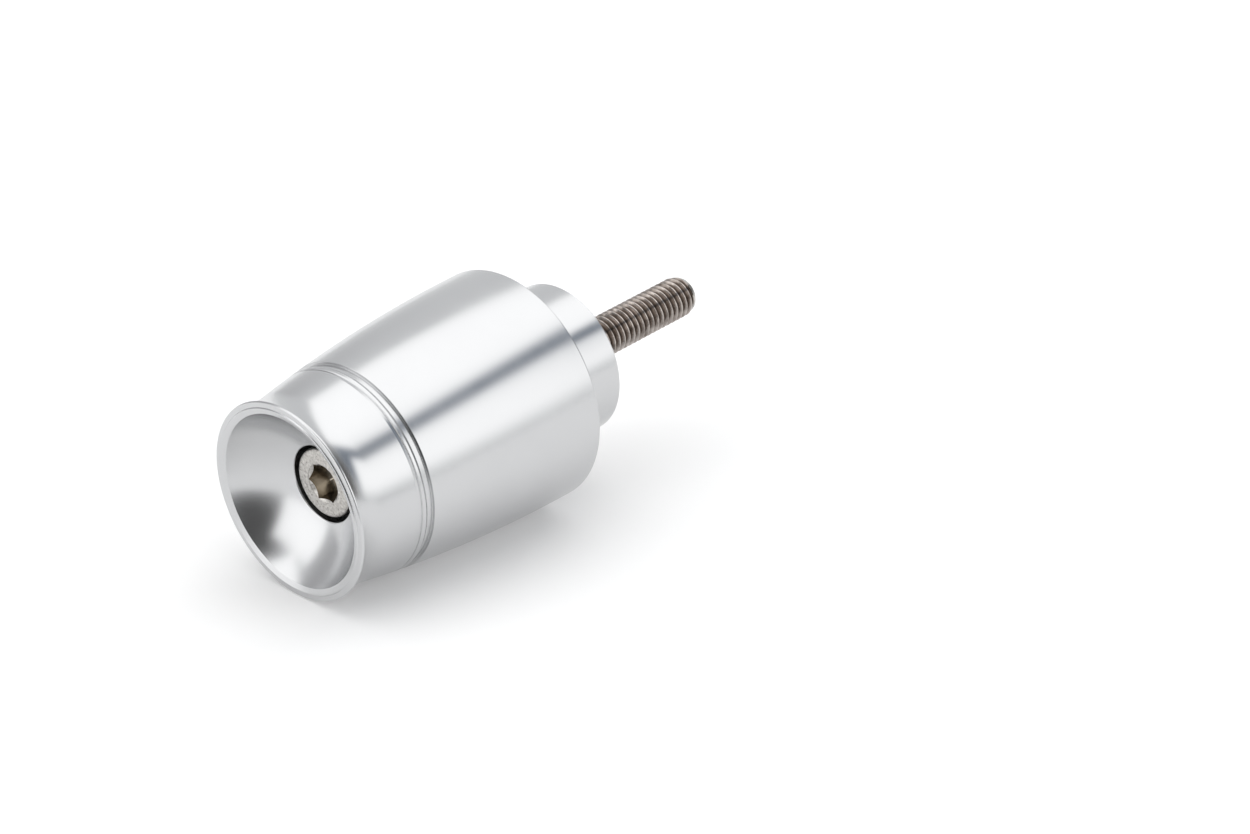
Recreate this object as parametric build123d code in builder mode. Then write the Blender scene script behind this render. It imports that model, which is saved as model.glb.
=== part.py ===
from build123d import *
from math import radians, sqrt, tan
import os

# Bar end weight for a motorcycle handlebar: a turned aluminium weight held by a long socket head cap screw.
# The axis is Y. The origin is the centre of the seat face that meets the end of the bar, the thread points
# to +Y and the cup opens to -Y. All sizes are millimetres.

# Seat end, as wide as the bar
BAR_DIAMETER = 22.2
SEAT_LENGTH = 10.5
SEAT_EDGE = 0.35

# Barrel, from the shoulder to the rim; it is widest at the shoulder and narrows to the neck behind the rim
BARREL_LENGTH = 42.0
SHOULDER_DIAMETER = 34.2
SHOULDER_EDGE = 0.3
NECK_DIAMETER = 27.86

# Flared rim, which stands out from the neck by the flare's height
FLARE_LENGTH = 4.6
FLARE_HEIGHT = 0.47
RIM_BAND = 0.05
RIM_ROUND = 0.4

# Lip round the mouth: its inner part slopes down into the cup
LIP_WIDTH = 1.8
LIP_SLOPE_WIDTH = 1.0
LIP_SLOPE_DEPTH = 0.35

# Ring groove and the fine line beside it; both fall gently from the rim's side and rise steeply
GROOVE_PLACE = 11.0
GROOVE_WIDTH = 1.5
GROOVE_DEPTH = 0.42
GROOVE_FALL = 0.55
GROOVE_RISE = 0.12
LINE_PLACE = 10.1
LINE_WIDTH = 0.65
LINE_DEPTH = 0.14
LINE_RISE = 0.14

# Socket head cap screw, M6 x 65 with a 5 mm hexagon; its thread stands as a plain outside diameter
SCREW_DIAMETER = 6.0
SCREW_LENGTH = 65.0
THREAD_LENGTH = 24.0
RUNOUT_LENGTH = 2.5
RUNOUT_STEP = 0.6
BLANK_DIAMETER = 5.35
HEAD_DIAMETER = 10.0
HEAD_HEIGHT = 6.0
HEAD_EDGE = 0.4
HEXAGON_WIDTH = 5.0
HEXAGON_DEPTH = 3.0
HEXAGON_TURN = 6.0
MOUTH_DIAMETER = 5.8
MOUTH_ANGLE = 90.0
PILOT_POINT_ANGLE = 120.0
TIP_CHAMFER = 0.8

# Cup and screw hole
CUP_DEPTH = 6.3
CUP_EDGE = 0.3
HEAD_CLEARANCE = 0.6
HEAD_SINK = 0.1
SHANK_CLEARANCE = 0.3
HOLE_EDGE = 0.3

# How near an edge's size and place must be to the ones asked for
MATCH = 0.001

# Places along the axis
SHOULDER_Y = -SEAT_LENGTH
RIM_Y = SHOULDER_Y - BARREL_LENGTH
CUP_FLOOR_Y = RIM_Y + CUP_DEPTH
HEAD_Y = CUP_FLOOR_Y + HEAD_SINK
HEAD_SEAT_Y = HEAD_Y + HEAD_HEIGHT
TIP_Y = HEAD_SEAT_Y + SCREW_LENGTH
THREAD_Y = TIP_Y - THREAD_LENGTH
RUNOUT_Y = THREAD_Y - RUNOUT_LENGTH

# Radii
SEAT_RADIUS = BAR_DIAMETER / 2
SHOULDER_RADIUS = SHOULDER_DIAMETER / 2
NECK_RADIUS = NECK_DIAMETER / 2
RIM_RADIUS = NECK_RADIUS + FLARE_HEIGHT
MOUTH_RADIUS = RIM_RADIUS - LIP_WIDTH
SCREW_RADIUS = SCREW_DIAMETER / 2
BLANK_RADIUS = BLANK_DIAMETER / 2
HOLE_RADIUS = SCREW_RADIUS + SHANK_CLEARANCE
HEAD_RADIUS = HEAD_DIAMETER / 2
COUNTERBORE_RADIUS = HEAD_RADIUS + HEAD_CLEARANCE

# Plane of the cup's floor, looking out of the cup
CUP_FLOOR = Plane(origin=(0, CUP_FLOOR_Y, 0), x_dir=(1, 0, 0), z_dir=(0, -1, 0))
# Plane of the screw head's face, looking out of the cup
HEAD_FACE = Plane(origin=(0, HEAD_Y, 0), x_dir=(1, 0, 0), z_dir=(0, -1, 0))


# The barrel's long curve runs level into the shoulder and passes through the neck
neck_y = RIM_Y + FLARE_LENGTH
neck_step = SHOULDER_RADIUS - NECK_RADIUS
barrel_curve = ((SHOULDER_Y - neck_y) ** 2 + neck_step**2) / (2 * neck_step)


def barrel_radius(y):
    """Radius of the barrel where its long curve passes one place along the axis."""
    return SHOULDER_RADIUS - barrel_curve + sqrt(barrel_curve**2 - (y - SHOULDER_Y) ** 2)


def rings(edges, radius, y):
    """The round edges of one radius at one place along the axis."""
    round_edges = edges.filter_by(GeomType.CIRCLE)
    return round_edges.filter_by(
        lambda edge: abs(edge.radius - radius) < MATCH and abs(edge.arc_center.Y - y) < MATCH
    )


# Places along the axis of the rim's straight band, the fine line and the ring groove
band_y = RIM_Y + RIM_ROUND + RIM_BAND
line_y = RIM_Y + LINE_PLACE
line_end_y = line_y + LINE_WIDTH
line_low_y = line_end_y - LINE_RISE
groove_y = RIM_Y + GROOVE_PLACE
groove_end_y = groove_y + GROOVE_WIDTH
groove_radius = barrel_radius(groove_y) - GROOVE_DEPTH

# Radius of the ball that passes through the cup's mouth and its floor's edge
mouth_y = RIM_Y + LIP_SLOPE_DEPTH
ball_depth = CUP_DEPTH - LIP_SLOPE_DEPTH
ball_centre_depth = (COUNTERBORE_RADIUS**2 + ball_depth**2 - MOUTH_RADIUS**2) / (2 * ball_depth)
cup_curve = sqrt(MOUTH_RADIUS**2 + ball_centre_depth**2)

with BuildPart() as weight_body:
    # Outside, turned in one piece: flare, fine line, ring groove, barrel and seat end
    with BuildSketch(Plane.XY):
        with BuildLine():
            head_curve = RadiusArc((NECK_RADIUS, neck_y), (barrel_radius(line_y), line_y), -barrel_curve)
            TangentArc((NECK_RADIUS, neck_y), (RIM_RADIUS, band_y), tangent=-(head_curve % 0))
            Line((RIM_RADIUS, band_y), (RIM_RADIUS, RIM_Y))
            Line((RIM_RADIUS, RIM_Y), (0, RIM_Y))
            Polyline(
                (barrel_radius(line_y), line_y),
                (barrel_radius(line_low_y) - LINE_DEPTH, line_low_y),
                (barrel_radius(line_end_y), line_end_y),
                (barrel_radius(groove_y), groove_y),
                (groove_radius, groove_y + GROOVE_FALL),
                (groove_radius, groove_end_y - GROOVE_RISE),
                (barrel_radius(groove_end_y), groove_end_y),
            )
            RadiusArc(
                (barrel_radius(groove_end_y), groove_end_y),
                (SHOULDER_RADIUS, SHOULDER_Y),
                -barrel_curve,
            )
            Line((SHOULDER_RADIUS, SHOULDER_Y), (SEAT_RADIUS, SHOULDER_Y))
            Line((SEAT_RADIUS, SHOULDER_Y), (SEAT_RADIUS, 0))
            Line((SEAT_RADIUS, 0), (0, 0))
            Line((0, 0), (0, RIM_Y))
        make_face()
    revolve(axis=Axis.Y)

    # Cup, part of a ball centred on the axis, from the sloping lip down to the screw's counterbore
    with BuildSketch(Plane.XY):
        with BuildLine():
            Line((0, RIM_Y), (MOUTH_RADIUS + LIP_SLOPE_WIDTH, RIM_Y))
            Line((MOUTH_RADIUS + LIP_SLOPE_WIDTH, RIM_Y), (MOUTH_RADIUS, mouth_y))
            RadiusArc((MOUTH_RADIUS, mouth_y), (COUNTERBORE_RADIUS, CUP_FLOOR_Y), -cup_curve)
            Line((COUNTERBORE_RADIUS, CUP_FLOOR_Y), (0, CUP_FLOOR_Y))
            Line((0, CUP_FLOOR_Y), (0, RIM_Y))
        make_face()
    revolve(axis=Axis.Y, mode=Mode.SUBTRACT)

    # Screw hole with a counterbore that seats the head
    with Locations(CUP_FLOOR):
        CounterBoreHole(HOLE_RADIUS, COUNTERBORE_RADIUS, HEAD_SINK + HEAD_HEIGHT)

    # Edges
    fillet(rings(weight_body.edges(), RIM_RADIUS, RIM_Y), RIM_ROUND)
    chamfer(rings(weight_body.edges(), SHOULDER_RADIUS, SHOULDER_Y), SHOULDER_EDGE)
    chamfer(rings(weight_body.edges(), SEAT_RADIUS, 0), SEAT_EDGE)
    chamfer(rings(weight_body.edges(), HOLE_RADIUS, 0), HOLE_EDGE)
    chamfer(rings(weight_body.edges(), COUNTERBORE_RADIUS, CUP_FLOOR_Y), CUP_EDGE)

with BuildPart() as socket_screw:
    # Head, shank, and the neck that the rolled thread leaves where it runs out
    with BuildSketch(Plane.XY):
        with BuildLine():
            Line((0, HEAD_Y), (HEAD_RADIUS, HEAD_Y))
            Line((HEAD_RADIUS, HEAD_Y), (HEAD_RADIUS, HEAD_SEAT_Y))
            Line((HEAD_RADIUS, HEAD_SEAT_Y), (SCREW_RADIUS, HEAD_SEAT_Y))
            Line((SCREW_RADIUS, HEAD_SEAT_Y), (SCREW_RADIUS, RUNOUT_Y))
            Line((SCREW_RADIUS, RUNOUT_Y), (BLANK_RADIUS, RUNOUT_Y + RUNOUT_STEP))
            Line((BLANK_RADIUS, RUNOUT_Y + RUNOUT_STEP), (SCREW_RADIUS, THREAD_Y))
            Line((SCREW_RADIUS, THREAD_Y), (SCREW_RADIUS, TIP_Y))
            Line((SCREW_RADIUS, TIP_Y), (0, TIP_Y))
            Line((0, TIP_Y), (0, HEAD_Y))
        make_face()
    revolve(axis=Axis.Y)
    chamfer(rings(socket_screw.edges(), HEAD_RADIUS, HEAD_Y), HEAD_EDGE)
    chamfer(rings(socket_screw.edges(), SCREW_RADIUS, TIP_Y), TIP_CHAMFER)

    # Hexagon socket, with a countersunk mouth and the point that its pilot drill leaves
    with BuildSketch(HEAD_FACE):
        RegularPolygon(HEXAGON_WIDTH / 2, 6, major_radius=False, rotation=HEXAGON_TURN)
    extrude(amount=-HEXAGON_DEPTH, mode=Mode.SUBTRACT)
    with Locations(HEAD_FACE):
        CounterSinkHole(MOUTH_DIAMETER / 4, MOUTH_DIAMETER / 2, HEXAGON_DEPTH, MOUTH_ANGLE)
    socket_end_y = HEAD_Y + HEXAGON_DEPTH
    point_depth = HEXAGON_WIDTH / 2 / tan(radians(PILOT_POINT_ANGLE / 2))
    with BuildSketch(Plane.XY):
        with BuildLine():
            Line((0, socket_end_y), (HEXAGON_WIDTH / 2, socket_end_y))
            Line((HEXAGON_WIDTH / 2, socket_end_y), (0, socket_end_y + point_depth))
            Line((0, socket_end_y + point_depth), (0, socket_end_y))
        make_face()
    revolve(axis=Axis.Y, mode=Mode.SUBTRACT)

weight_body.part.label = "weight_body"
socket_screw.part.label = "socket_screw"
os.makedirs("parts", exist_ok=True)
export_step(weight_body.part, "parts/weight_body.step")
export_step(socket_screw.part, "parts/socket_screw.step")
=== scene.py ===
from math import atan2, ceil, cos, hypot, pi, radians, sin, sqrt, tan

import bmesh
import bpy
from mathutils import Matrix, Vector

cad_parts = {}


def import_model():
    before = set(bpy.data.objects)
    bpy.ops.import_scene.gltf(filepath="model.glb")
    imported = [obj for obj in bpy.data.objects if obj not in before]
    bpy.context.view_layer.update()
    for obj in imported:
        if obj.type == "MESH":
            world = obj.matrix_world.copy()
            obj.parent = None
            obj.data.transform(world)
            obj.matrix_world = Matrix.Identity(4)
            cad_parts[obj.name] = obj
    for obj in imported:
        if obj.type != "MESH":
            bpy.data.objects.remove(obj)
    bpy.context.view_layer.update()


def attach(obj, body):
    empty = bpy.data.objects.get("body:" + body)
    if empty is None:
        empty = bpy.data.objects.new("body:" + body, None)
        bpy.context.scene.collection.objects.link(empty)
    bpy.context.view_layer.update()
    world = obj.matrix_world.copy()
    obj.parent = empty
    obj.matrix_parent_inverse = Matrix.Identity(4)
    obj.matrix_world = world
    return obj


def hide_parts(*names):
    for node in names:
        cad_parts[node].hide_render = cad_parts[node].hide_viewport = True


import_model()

# The looks of a turned bar end weight. The axis is Y, the cup opens to -Y and the thread points to +Y.
# Sizes are millimetres in the row's frame, and the meshes are made in metres.
MM = 0.001

# Seat end and barrel
SEAT_RADIUS = 11.1
SEAT_LENGTH = 10.5
SEAT_EDGE = 0.35
BARREL_LENGTH = 42.0
SHOULDER_RADIUS = 17.1
SHOULDER_ROUND = 0.18
INNER_ROUND = 0.15
NECK_RADIUS = 13.93

# Flared rim
FLARE_LENGTH = 4.6
FLARE_HEIGHT = 0.47
RIM_BAND = 0.05
RIM_ROUND = 0.4

# Lip round the mouth: its inner part slopes down into the cup, and a small step leads to the rim's round edge
LIP_WIDTH = 1.8
LIP_SLOPE_WIDTH = 0.75
LIP_SLOPE_DEPTH = 0.33
LIP_ROUND = 0.15
LIP_STEP_PLACE = 0.93
LIP_STEP_WIDTH = 0.13
LIP_STEP_DEPTH = 0.16
STEP_ROUND = 0.04

# Ring groove and the fine line beside it; both fall gently from the rim's side and rise steeply
GROOVE_PLACE = 11.1
GROOVE_WIDTH = 1.4
GROOVE_DEPTH = 0.22
GROOVE_FALL = 0.42
GROOVE_RISE = 0.04
GROOVE_ROUND = 0.04
GROOVE_FLOOR_ROUND = 0.1
GROOVE_CORNER_ROUND = 0.04
LINE_PLACE = 10.1
LINE_WIDTH = 0.62
LINE_DEPTH = 0.16
LINE_RISE = 0.08
LINE_ROUND = 0.04

# Cup and screw hole
CUP_DEPTH = 6.3
CUP_EDGE_ROUND = 0.22
COUNTERBORE_RADIUS = 5.6
HOLE_RADIUS = 3.3
HOLE_EDGE = 0.3
FINE_ROUND = 0.05

# Socket head cap screw, M6 x 65
HEAD_SINK = 0.1
HEAD_RADIUS = 5.0
HEAD_HEIGHT = 6.0
HEAD_ROUND = 0.45
SCREW_RADIUS = 3.0
SCREW_LENGTH = 65.0
THREAD_LENGTH = 24.0
RUNOUT_LENGTH = 2.5
RUNOUT_STEP = 0.6
TIP_TAPER = 0.5
TIP_TAPER_LENGTH = 1.6
TIP_EDGE = 0.2
HEXAGON_WIDTH = 5.0
HEXAGON_DEPTH = 3.0
HEXAGON_TURN = 6.0
SOCKET_MOUTH_RADIUS = 2.9
PILOT_POINT_ANGLE = 120.0
PITCH = 1.0
THREAD_DEPTH = 0.61

# Crest and root of the thread, as shares of the pitch on either side of their middles
CREST_FLAT = 0.07
ROOT_FLAT = 0.1

# Fineness of the meshes: sides round the axis, rows in one pitch of the thread, steps along the curves
BODY_SIDES = 288
SCREW_SIDES = 120
PITCH_ROWS = 12
ROUND_STEPS = 4
FLARE_STEPS = 20
NECK_STEPS = 8
BARREL_STEPS = 24
CUP_STEPS = 32

# Distance of the row beside each round, and rings on the socket's drilled point as shares of its radius
ROW_BESIDE = 0.03
POINT_SHARES = (0.1, 0.5, 1)

# Points closer than this are merged, edges thinner than this are dropped, edges above this angle are sharp
MERGE_DISTANCE = 0.001
THIN_DISTANCE = 0.0005
SHARP_ANGLE = 40.0

# Places along the axis
SHOULDER_Y = -SEAT_LENGTH
RIM_Y = SHOULDER_Y - BARREL_LENGTH
CUP_FLOOR_Y = RIM_Y + CUP_DEPTH
HEAD_Y = CUP_FLOOR_Y + HEAD_SINK
HEAD_SEAT_Y = HEAD_Y + HEAD_HEIGHT
TIP_Y = HEAD_SEAT_Y + SCREW_LENGTH
THREAD_Y = TIP_Y - THREAD_LENGTH
RUNOUT_Y = THREAD_Y - RUNOUT_LENGTH
BRIGHT_TIP_Y = TIP_Y - TIP_TAPER_LENGTH / 2

# Radii that follow from the sizes above
RIM_RADIUS = NECK_RADIUS + FLARE_HEIGHT
MOUTH_RADIUS = RIM_RADIUS - LIP_WIDTH
TIP_RADIUS = SCREW_RADIUS - TIP_TAPER - TIP_EDGE

# The barrel's long curve runs level into the shoulder and passes through the neck
NECK_Y = RIM_Y + FLARE_LENGTH
NECK_STEP = SHOULDER_RADIUS - NECK_RADIUS
BARREL_CURVE = ((SHOULDER_Y - NECK_Y) ** 2 + NECK_STEP**2) / (2 * NECK_STEP)


def barrel_radius(y):
    """Radius of the barrel where its long curve passes one place along the axis."""
    return SHOULDER_RADIUS - BARREL_CURVE + sqrt(BARREL_CURVE**2 - (y - SHOULDER_Y) ** 2)


def barrel_stretch(start, end, steps):
    """Points of the barrel's long curve between two places, both left out."""
    places = [start + (end - start) * step / steps for step in range(1, steps)]
    return [(barrel_radius(y), y, 0) for y in places]


def round_stretch(centre, start, end, steps):
    """Points of a round stretch about a centre from one point to another, both left out."""
    radius = hypot(start[0] - centre[0], start[1] - centre[1])
    first = atan2(start[1] - centre[1], start[0] - centre[0])
    last = atan2(end[1] - centre[1], end[0] - centre[0])
    turn = (last - first + pi) % (2 * pi) - pi
    angles = [first + turn * step / steps for step in range(1, steps)]
    return [(centre[0] + radius * cos(a), centre[1] + radius * sin(a), 0) for a in angles]


def softened(corners):
    """The outline's points, where each corner with a round of its own becomes a small arc."""
    points = []
    for index, (radius, y, size) in enumerate(corners):
        corner = Vector((radius, y))
        if size == 0:
            points.append(corner)
            continue
        before = Vector(corners[index - 1][:2])
        after = Vector(corners[(index + 1) % len(corners)][:2])
        into = (corner - before).normalized()
        out = (after - corner).normalized()
        turn = atan2(into.x * out.y - into.y * out.x, into.dot(out))
        reach = size * tan(abs(turn) / 2)
        side = 1 if turn > 0 else -1
        centre = corner - into * reach + Vector((-into.y, into.x)) * size * side
        spoke = corner - into * reach - centre
        points.append(corner - into * (reach + ROW_BESIDE))
        for step in range(ROUND_STEPS + 1):
            points.append(centre + Matrix.Rotation(turn * step / ROUND_STEPS, 2) @ spoke)
        points.append(corner + out * (reach + ROW_BESIDE))
    return points


def body_outline():
    """Outline of the weight's metal beside its axis, as (radius, y, round), from the cup's mouth outwards."""
    band_y = RIM_Y + RIM_ROUND + RIM_BAND
    line_y = RIM_Y + LINE_PLACE
    line_end_y = line_y + LINE_WIDTH
    line_low_y = line_end_y - LINE_RISE
    groove_y = RIM_Y + GROOVE_PLACE
    groove_end_y = groove_y + GROOVE_WIDTH
    groove_radius = barrel_radius(groove_y) - GROOVE_DEPTH
    # The flare touches the barrel's curve at the neck and ends at the rim's band
    slope = (SHOULDER_Y - NECK_Y) / BARREL_CURVE
    run = NECK_Y - band_y
    level = sqrt(1 - slope**2)
    flare_curve = (run**2 + FLARE_HEIGHT**2) / (2 * (run * slope + FLARE_HEIGHT * level))
    flare_centre = (NECK_RADIUS + flare_curve * level, NECK_Y - flare_curve * slope)
    # The cup is part of a ball centred on the axis
    mouth_y = RIM_Y + LIP_SLOPE_DEPTH
    ball_depth = CUP_DEPTH - LIP_SLOPE_DEPTH
    ball_centre_depth = (COUNTERBORE_RADIUS**2 + ball_depth**2 - MOUTH_RADIUS**2) / (2 * ball_depth)
    cup_centre = (0, mouth_y + ball_centre_depth)
    cup_edge = (COUNTERBORE_RADIUS, CUP_FLOOR_Y)
    step_radius = RIM_RADIUS - LIP_STEP_PLACE
    step_y = RIM_Y + LIP_STEP_DEPTH
    return [
        (MOUTH_RADIUS, mouth_y, LIP_ROUND),
        (MOUTH_RADIUS + LIP_SLOPE_WIDTH, RIM_Y, LIP_ROUND),
        (step_radius, RIM_Y, STEP_ROUND),
        (step_radius + LIP_STEP_WIDTH, step_y, STEP_ROUND),
        (RIM_RADIUS, step_y, RIM_ROUND - LIP_STEP_DEPTH),
        (RIM_RADIUS, band_y, 0),
        *round_stretch(flare_centre, (RIM_RADIUS, band_y), (NECK_RADIUS, NECK_Y), FLARE_STEPS),
        (NECK_RADIUS, NECK_Y, 0),
        *barrel_stretch(NECK_Y, line_y, NECK_STEPS),
        (barrel_radius(line_y), line_y, LINE_ROUND),
        (barrel_radius(line_low_y) - LINE_DEPTH, line_low_y, LINE_ROUND),
        (barrel_radius(line_end_y), line_end_y, LINE_ROUND),
        (barrel_radius(groove_y), groove_y, GROOVE_ROUND),
        (groove_radius, groove_y + GROOVE_FALL, GROOVE_FLOOR_ROUND),
        (groove_radius, groove_end_y - GROOVE_RISE, GROOVE_CORNER_ROUND),
        (barrel_radius(groove_end_y), groove_end_y, GROOVE_ROUND),
        *barrel_stretch(groove_end_y, SHOULDER_Y, BARREL_STEPS),
        (SHOULDER_RADIUS, SHOULDER_Y, SHOULDER_ROUND),
        (SEAT_RADIUS, SHOULDER_Y, INNER_ROUND),
        (SEAT_RADIUS, -SEAT_EDGE, FINE_ROUND),
        (SEAT_RADIUS - SEAT_EDGE, 0, FINE_ROUND),
        (HOLE_RADIUS + HOLE_EDGE, 0, FINE_ROUND),
        (HOLE_RADIUS, -HOLE_EDGE, FINE_ROUND),
        (HOLE_RADIUS, HEAD_SEAT_Y, FINE_ROUND),
        (COUNTERBORE_RADIUS, HEAD_SEAT_Y, FINE_ROUND),
        (*cup_edge, CUP_EDGE_ROUND),
        *round_stretch(cup_centre, cup_edge, (MOUTH_RADIUS, mouth_y), CUP_STEPS),
    ]


def finished(name, maker, materials, node):
    """Turns a filled bmesh into a smooth piece that stands for its CAD node and rides with the part."""
    bmesh.ops.remove_doubles(maker, verts=maker.verts, dist=MERGE_DISTANCE * MM)
    bmesh.ops.dissolve_degenerate(maker, edges=maker.edges, dist=THIN_DISTANCE * MM)
    bmesh.ops.recalc_face_normals(maker, faces=maker.faces)
    for face in maker.faces:
        face.smooth = True
    for edge in maker.edges:
        edge.smooth = edge.calc_face_angle(0) < radians(SHARP_ANGLE)
    mesh = bpy.data.meshes.new(name)
    maker.to_mesh(mesh)
    maker.free()
    piece = bpy.data.objects.new(name, mesh)
    bpy.context.collection.objects.link(piece)
    for material in materials:
        mesh.materials.append(material)
    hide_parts(node)
    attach(piece, "root")


def ring(maker, radius, y, sides):
    """A ring of points round the axis, where radius and y are numbers or functions of the angle."""
    points = []
    for side in range(sides):
        angle = 2 * pi * side / sides
        length = radius(angle) if callable(radius) else radius
        place = y(angle) if callable(y) else y
        points.append(maker.verts.new((length * cos(angle) * MM, place * MM, length * sin(angle) * MM)))
    return points


def skin(maker, first, second, material=0):
    """Faces between two rings."""
    for side in range(len(first)):
        following = (side + 1) % len(first)
        face = maker.faces.new((first[side], first[following], second[following], second[side]))
        face.material_index = material


def weight_body(materials):
    """The turned weight: its outline carried round the axis."""
    maker = bmesh.new()
    rings = [ring(maker, point.x, point.y, BODY_SIDES) for point in softened(body_outline())]
    for index, first in enumerate(rings):
        skin(maker, rings[index - 1], first)
    finished("weight_body_turned", maker, materials, "weight_body")


def hexagon(angle):
    """Distance from the axis to the hexagon socket's wall at one angle."""
    sixth = pi / 3
    return HEXAGON_WIDTH / 2 / cos((angle - radians(HEXAGON_TURN)) % sixth - sixth / 2)


def hexagon_top(angle):
    """Place along the axis where the hexagon's wall meets its countersunk mouth, at one angle."""
    return HEAD_Y + SOCKET_MOUTH_RADIUS - hexagon(angle)


def thread_radius(y, phase):
    """Radius of the thread at one place along the axis and one phase of its pitch, where 0 is a crest."""
    away = abs(phase - round(phase))
    fall = (away - CREST_FLAT) / (0.5 - ROOT_FLAT - CREST_FLAT)
    fade = min(max((y - RUNOUT_Y) / RUNOUT_LENGTH, 0), 1)
    thread = SCREW_RADIUS - THREAD_DEPTH * fade * min(max(fall, 0), 1)
    from_tip = TIP_Y - y
    taper = SCREW_RADIUS - TIP_TAPER * max(0, 1 - from_tip / TIP_TAPER_LENGTH)
    return min(thread, taper, TIP_RADIUS + from_tip)


def thread_rows(maker):
    """Points of the thread, row by row. Each row climbs one pitch in a turn, from the run-out to the tip."""
    rows = []
    # One turn before the run-out and one past the tip are held there, so that both ends are level
    count = (ceil((TIP_Y - RUNOUT_Y) / PITCH) + 2) * PITCH_ROWS + 1
    for row in range(count):
        points = []
        for side in range(SCREW_SIDES):
            climb = row / PITCH_ROWS - 1 + side / SCREW_SIDES
            y = min(max(RUNOUT_Y + climb * PITCH, RUNOUT_Y), TIP_Y)
            angle = -2 * pi * side / SCREW_SIDES
            length = thread_radius(y, row / PITCH_ROWS)
            points.append(maker.verts.new((length * cos(angle) * MM, y * MM, length * sin(angle) * MM)))
        rows.append(points)
    return rows


def socket_screw(materials):
    """The screw: hexagon socket, head, shank and a right-handed thread that runs out into the shank."""
    maker = bmesh.new()
    # Places of the materials in the piece's list
    head, thread, socket = 0, 1, 2
    socket_end_y = HEAD_Y + HEXAGON_DEPTH
    drill_radius = HEXAGON_WIDTH / 2
    point_depth = drill_radius / tan(radians(PILOT_POINT_ANGLE / 2))
    inside = [ring(maker, 0, socket_end_y + point_depth, SCREW_SIDES)]
    for share in POINT_SHARES:
        point_y = socket_end_y + point_depth * (1 - share)
        inside.append(ring(maker, drill_radius * share, point_y, SCREW_SIDES))
    inside.append(ring(maker, hexagon, socket_end_y, SCREW_SIDES))
    inside.append(ring(maker, hexagon, hexagon_top, SCREW_SIDES))
    for first, second in zip(inside, inside[1:]):
        skin(maker, first, second, socket)
    outline = softened([
        (SOCKET_MOUTH_RADIUS, HEAD_Y, FINE_ROUND),
        (HEAD_RADIUS - 2 * HEAD_ROUND, HEAD_Y, 0),
        (HEAD_RADIUS, HEAD_Y, HEAD_ROUND),
        (HEAD_RADIUS, HEAD_SEAT_Y, FINE_ROUND),
        (SCREW_RADIUS, HEAD_SEAT_Y, FINE_ROUND),
        (SCREW_RADIUS, RUNOUT_Y - RUNOUT_STEP, 0),
        (SCREW_RADIUS, RUNOUT_Y, 0),
    ])
    outside = [inside[-1]] + [ring(maker, point.x, point.y, SCREW_SIDES) for point in outline]
    for first, second in zip(outside, outside[1:]):
        skin(maker, first, second, head)
    rows = thread_rows(maker)
    for row, points in enumerate(rows[: -PITCH_ROWS - 1]):
        # The last side meets the row that has climbed one pitch
        low = points + rows[row + PITCH_ROWS][:1]
        high = rows[row + 1] + rows[row + PITCH_ROWS + 1][:1]
        for side in range(SCREW_SIDES):
            face = maker.faces.new((low[side], low[side + 1], high[side + 1], high[side]))
            on_tip = low[side].co.y > BRIGHT_TIP_Y * MM
            face.material_index = head if on_tip else thread
    tip = maker.faces.new(ring(maker, TIP_RADIUS, TIP_Y, SCREW_SIDES))
    tip.material_index = head
    finished("socket_screw_threaded", maker, materials, "socket_screw")


class Nodes:
    """A material's or the world's node tree, with short ways to add and join nodes."""

    def __init__(self, tree):
        self.tree = tree
        self.tree.nodes.clear()

    def add(self, kind, inputs=None, **settings):
        """A node with its settings; an input is a value or another node's output."""
        node = self.tree.nodes.new(kind)
        for name, value in settings.items():
            setattr(node, name, value)
        for name, value in (inputs or {}).items():
            if isinstance(value, bpy.types.NodeSocket):
                self.tree.links.new(value, node.inputs[name])
            else:
                node.inputs[name].default_value = value
        return node

    def math(self, operation, *values):
        inputs = dict(enumerate(values))
        return self.add("ShaderNodeMath", inputs, operation=operation).outputs[0]

    def noise(self, vector, scale, roughness):
        inputs = {"Vector": vector, "Scale": scale, "Detail": NOISE_DETAIL, "Roughness": roughness}
        return self.add("ShaderNodeTexNoise", inputs).outputs["Fac"]

    def spread(self, value, low, high, to_low, to_high):
        """A value's range between low and high carried over to another range."""
        inputs = {"Value": value, "From Min": low, "From Max": high}
        goals = {"To Min": to_low, "To Max": to_high}
        return self.add("ShaderNodeMapRange", {**inputs, **goals}).outputs["Result"]

    def fade(self, value, low, high):
        """A soft step from 0 at the low value to 1 at the high one."""
        inputs = {"Value": value, "From Min": low, "From Max": high}
        return self.add("ShaderNodeMapRange", inputs, interpolation_type="SMOOTHSTEP").outputs["Result"]

    def dot(self, vector, way):
        inputs = {0: vector, 1: tuple(way)}
        return self.add("ShaderNodeVectorMath", inputs, operation="DOT_PRODUCT").outputs["Value"]

    def blend(self, factor, first, second):
        """A mix of two colours; the node takes its factor at 0 and the colours at 6 and 7, and gives 2."""
        inputs = {0: factor, 6: first, 7: second}
        return self.add("ShaderNodeMix", inputs, data_type="RGBA").outputs[2]


# How the marks and the stains of a metal make its colour and its gloss
NOISE_DETAIL = 3.0
MARK_ROUGHNESS = 0.6
STAIN_ROUGHNESS = 0.55
MARK_SHARE = 0.5
TINT_LOW = 0.45
TINT_HIGH = 1.05
# How far the thread's crests are lifted above the dark of its roots, which is painted shade with some grime
ROOT_SHADE_AND_WEAR_TINT = 1.6
GLOSS_LOW = 0.7
GLOSS_HIGH = 1.3
ACROSS_MARKS = 0.25


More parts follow.
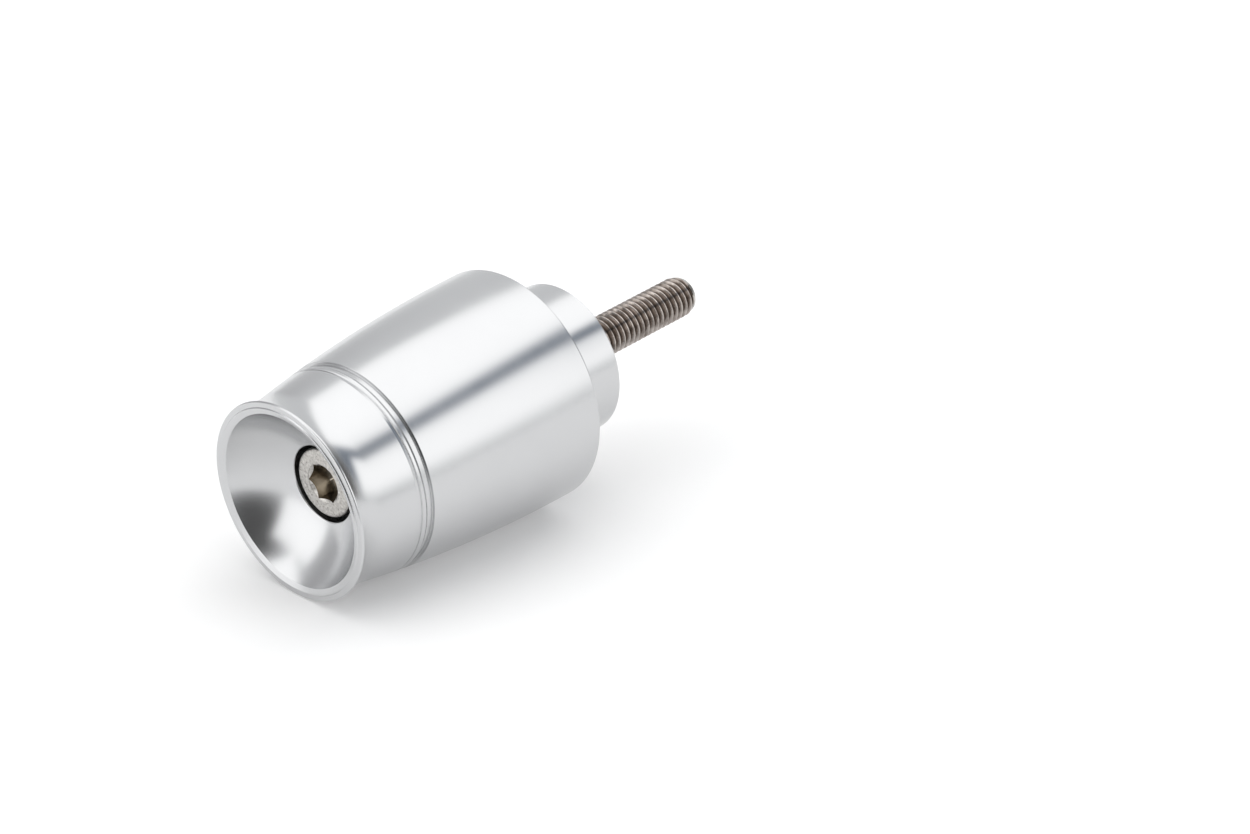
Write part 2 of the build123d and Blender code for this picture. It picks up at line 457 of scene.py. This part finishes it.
def metal(name, light, dark, roughness, mark_scale, mark_height, stain_scale, anisotropy=0.0, root_shade_and_wear=None):
    """A turned metal: rings of fine tool marks round the axis, stains, and a glint drawn across the marks.

    light and dark are its two colours and roughness is (smooth, rough). The scales are in marks or spots per
    metre. mark_height is in millimetres, and so is the last argument, which is (radius where the colour is
    darkest, as painted shade in the roots with some grime, radius where wear has polished it light)."""
    material = bpy.data.materials.new(name)
    material.use_nodes = True
    nodes = Nodes(material.node_tree)
    place = nodes.add("ShaderNodeTexCoord").outputs["Object"]
    axes = nodes.add("ShaderNodeSeparateXYZ", {"Vector": place})
    across = nodes.add("ShaderNodeCombineXYZ", {"X": axes.outputs["X"], "Y": axes.outputs["Z"]})
    radius = nodes.add("ShaderNodeVectorMath", {0: across.outputs[0]}, operation="LENGTH").outputs["Value"]
    section = nodes.add("ShaderNodeCombineXYZ", {"X": radius, "Y": axes.outputs["Y"]}).outputs[0]
    marks = nodes.noise(section, mark_scale, MARK_ROUGHNESS)
    stains = nodes.noise(place, stain_scale, STAIN_ROUGHNESS)
    mixed = nodes.math("ADD", nodes.math("MULTIPLY", marks, MARK_SHARE), stains)
    tint = nodes.spread(mixed, TINT_LOW, TINT_HIGH, 0.0, 1.0)
    # Darker towards the thread's roots, as painted shade with some grime, and lighter on its crests, polished
    # by wear
    if root_shade_and_wear:
        root_shade_and_wear_factor = nodes.spread(radius, root_shade_and_wear[0] * MM, root_shade_and_wear[1] * MM, 0.0, ROOT_SHADE_AND_WEAR_TINT)
        tint = nodes.math("MULTIPLY", tint, root_shade_and_wear_factor)
    colour = nodes.blend(tint, (*dark, 1.0), (*light, 1.0))
    gloss = nodes.spread(nodes.math("ADD", marks, stains), GLOSS_LOW, GLOSS_HIGH, *roughness)
    bump = nodes.add("ShaderNodeBump", {"Height": marks, "Strength": 1.0, "Distance": mark_height * MM})
    tangent = nodes.add("ShaderNodeTangent", direction_type="RADIAL", axis="Y")
    shader = nodes.add("ShaderNodeBsdfPrincipled", {
        "Base Color": colour,
        "Metallic": 1.0,
        "Roughness": gloss,
        "Anisotropic": anisotropy,
        "Anisotropic Rotation": ACROSS_MARKS,
        "Normal": bump.outputs[0],
        "Tangent": tangent.outputs[0],
    })
    nodes.add("ShaderNodeOutputMaterial", {"Surface": shader.outputs[0]})
    return material


def turned_aluminium():
    """The weight's aluminium: pale, even and finely turned."""
    return metal(
        "turned_aluminium",
        light=(0.588, 0.592, 0.598),
        dark=(0.566, 0.570, 0.577),
        roughness=(0.21, 0.25),
        mark_scale=9000.0,
        mark_height=0.00005,
        stain_scale=160.0,
        anisotropy=0.4,
    )


def stainless_head():
    """The steel of the screw's head, shank and tip, with small spots."""
    return metal(
        "stainless_head",
        light=(0.74, 0.72, 0.69),
        dark=(0.30, 0.285, 0.265),
        roughness=(0.22, 0.42),
        mark_scale=2600.0,
        mark_height=0.0012,
        stain_scale=2600.0,
    )


def rolled_thread():
    """The thread's steel: brownish, with painted shade and some grime in its roots and wear-polished crests.
    """
    return metal(
        "rolled_thread",
        light=(0.50, 0.452, 0.42),
        # The dark colour shows in the roots as painted shade, with some grime
        dark=(0.15, 0.123, 0.105),
        roughness=(0.12, 0.2),
        mark_scale=2600.0,
        mark_height=0.0004,
        stain_scale=700.0,
        root_shade_and_wear=(2.5, 2.95),
    )


def darker_socket_steel():
    """A darker, browner steel colour for the walls inside the hexagon socket."""
    return metal(
        "darker_socket_steel",
        light=(0.53, 0.49, 0.43),
        dark=(0.34, 0.305, 0.255),
        roughness=(0.14, 0.22),
        mark_scale=2600.0,
        mark_height=0.0006,
        stain_scale=900.0,
    )


# The camera, as it was fitted to the photograph: where it stands and which way it looks
CAMERA_PLACE = Vector((328.08, -320.84, 248.68))
CAMERA_RIGHT = Vector((0.7256, 0.6872, -0.0362))
CAMERA_BACK = Vector((0.6117, -0.6200, 0.4914))
CAMERA_CLIP = 10.0
FOCAL_PIXELS = 3701.4
PHOTO_WIDTH = 1250
SENSOR_WIDTH = 36.0

# The floor's size, how far it reaches towards the camera, its gap under the weight, its tone and its glow
FLOOR_SIZE = 800.0
FLOOR_REACH = 75.0
FLOOR_GAP = 0.02
FLOOR_TONE = 0.88
FLOOR_GLOW = 0.15


def pale_floor():
    """The floor's material, like a light table: pale, and a little bright by itself."""
    material = bpy.data.materials.new("pale_floor")
    material.use_nodes = True
    nodes = Nodes(material.node_tree)
    shader = nodes.add("ShaderNodeBsdfPrincipled", {
        "Base Color": (FLOOR_TONE, FLOOR_TONE, FLOOR_TONE, 1.0),
        "Roughness": 1.0,
        "Specular IOR Level": 0.0,
        "Emission Color": (1.0, 1.0, 1.0, 1.0),
        "Emission Strength": FLOOR_GLOW,
    })
    nodes.add("ShaderNodeOutputMaterial", {"Surface": shader.outputs[0]})
    return material


def floor():
    """A plain sheet under the weight; its near edge lies out of the picture, between camera and weight."""
    # The weight lies on its rim and its shoulder, so the floor slopes a little along the axis
    rim_low = Vector((0, RIM_Y + RIM_ROUND, -RIM_RADIUS))
    shoulder_low = Vector((0, SHOULDER_Y - SHOULDER_ROUND, -SHOULDER_RADIUS))
    normal = Vector((1, 0, 0)).cross((shoulder_low - rim_low).normalized())
    near = (CAMERA_BACK - normal * CAMERA_BACK.dot(normal)).normalized()
    middle = rim_low - normal * FLOOR_GAP + near * (FLOOR_REACH - FLOOR_SIZE / 2)
    bpy.ops.mesh.primitive_plane_add(size=FLOOR_SIZE * MM)
    plane = bpy.context.object
    plane.name = "floor"
    turn = Matrix((near, normal.cross(near), normal)).transposed()
    plane.matrix_world = Matrix.Translation(middle * MM) @ turn.to_4x4()
    plane.data.materials.append(pale_floor())


def camera():
    """The camera at the photograph's viewing angle."""
    data = bpy.data.cameras.new("camera")
    data.sensor_width = SENSOR_WIDTH
    data.lens = SENSOR_WIDTH * FOCAL_PIXELS / PHOTO_WIDTH
    data.clip_start = CAMERA_CLIP * MM
    stand = bpy.data.objects.new("camera", data)
    bpy.context.collection.objects.link(stand)
    back = CAMERA_BACK.normalized()
    right = (CAMERA_RIGHT - back * CAMERA_RIGHT.dot(back)).normalized()
    turn = Matrix((right, back.cross(right), back)).transposed()
    stand.matrix_world = Matrix.Translation(CAMERA_PLACE * MM) @ turn.to_4x4()
    bpy.context.scene.camera = stand


def direction(azimuth, elevation):
    """Unit vector at an azimuth, 0 towards the camera and 90 to its right, and an elevation, in degrees."""
    angle = atan2(CAMERA_BACK.y, CAMERA_BACK.x) + radians(azimuth)
    rise = radians(elevation)
    return Vector((cos(rise) * cos(angle), cos(rise) * sin(angle), sin(rise)))


def upright_edges(facing, onward, back, up, down, softness, down_softness):
    """Edges of an upright light: its reach towards larger and smaller azimuths, and up and down."""
    across = Vector((0, 0, 1)).cross(facing).normalized()
    rise = facing.cross(across)
    return (
        (across, onward, softness),
        (-across, back, softness),
        (rise, up, softness),
        (-rise, down, down_softness),
    )


# Soft lights of the surroundings, as (way they lie in, edges, brightness). Each edge is (way it lies in from
# the light's middle, its reach on a plane one unit away, its softness).
OVERHEAD_WAY = direction(0, 90)
OVERHEAD_EDGES = (
    (direction(70, 0), 0.86, 0.13),
    (direction(200, 0), 0.93, 0.08),
    (direction(-90, 0), 0.92, 0.07),
    (direction(0, 0), 0.34, 0.07),
)
LEFT_WAY = direction(-62, 19)
LEFT_EDGES = upright_edges(
    LEFT_WAY, onward=0.54, back=0.56, up=0.48, down=0.48, softness=0.09, down_softness=0.07
)
RIGHT_WAY = direction(72, 16)
RIGHT_EDGES = upright_edges(
    RIGHT_WAY, onward=0.40, back=0.87, up=0.40, down=0.26, softness=0.08, down_softness=0.18
)
LIGHTS = (
    (OVERHEAD_WAY, OVERHEAD_EDGES, 1.68),
    (LEFT_WAY, LEFT_EDGES, 1.66),
    (RIGHT_WAY, RIGHT_EDGES, 1.64),
)
# Darker patches of the room, as (way they lie in, degrees from a patch's middle to the end of its even part,
# degrees from its middle to its outer edge, colour)
ROOM = (
    (direction(-1, 32), 18, 52, (0.10, 0.10, 0.10, 1.0)),
    (direction(95, 40), 16, 38, (0.21, 0.25, 0.31, 1.0)),
    (direction(128, 2), 8, 28, (0.12, 0.11, 0.10, 1.0)),
    (direction(-130, 14), 14, 41, (0.56, 0.56, 0.57, 1.0)),
)
BACKDROP = (0.84, 0.85, 0.86, 1.0)
SEEN_BACKDROP = (1.0, 1.0, 1.0, 1.0)


def light_patch(nodes, way, facing, edges):
    """Mask of one light with soft edges, 1 inside it and 0 outside."""
    ahead = nodes.dot(way, facing)
    mask = nodes.math("GREATER_THAN", ahead, 0.0)
    for side, reach, softness in edges:
        along = nodes.math("DIVIDE", nodes.dot(way, side), ahead)
        mask = nodes.math("MULTIPLY", mask, nodes.fade(along, reach + softness, reach - softness))
    return mask


def world():
    """Pale surroundings with darker patches and three soft lights; a straight view of them is white."""
    sky = bpy.data.worlds.new("studio")
    bpy.context.scene.world = sky
    sky.use_nodes = True
    nodes = Nodes(sky.node_tree)
    way = nodes.add("ShaderNodeTexCoord").outputs["Generated"]
    colour = BACKDROP
    for facing, inner, outer, shade in ROOM:
        mask = nodes.fade(nodes.dot(way, facing), cos(radians(outer)), cos(radians(inner)))
        colour = nodes.blend(mask, colour, shade)
    for facing, edges, light in LIGHTS:
        colour = nodes.blend(light_patch(nodes, way, facing, edges), colour, (light, light, light, 1.0))
    seen = nodes.add("ShaderNodeLightPath").outputs["Is Camera Ray"]
    shown = nodes.blend(seen, colour, SEEN_BACKDROP)
    background = nodes.add("ShaderNodeBackground", {"Color": shown, "Strength": 1.0})
    nodes.add("ShaderNodeOutputWorld", {"Surface": background.outputs[0]})


weight_body([turned_aluminium()])
socket_screw([stainless_head(), rolled_thread(), darker_socket_steel()])
floor()
camera()
world()

bpy.context.scene.view_settings.view_transform = "Standard"
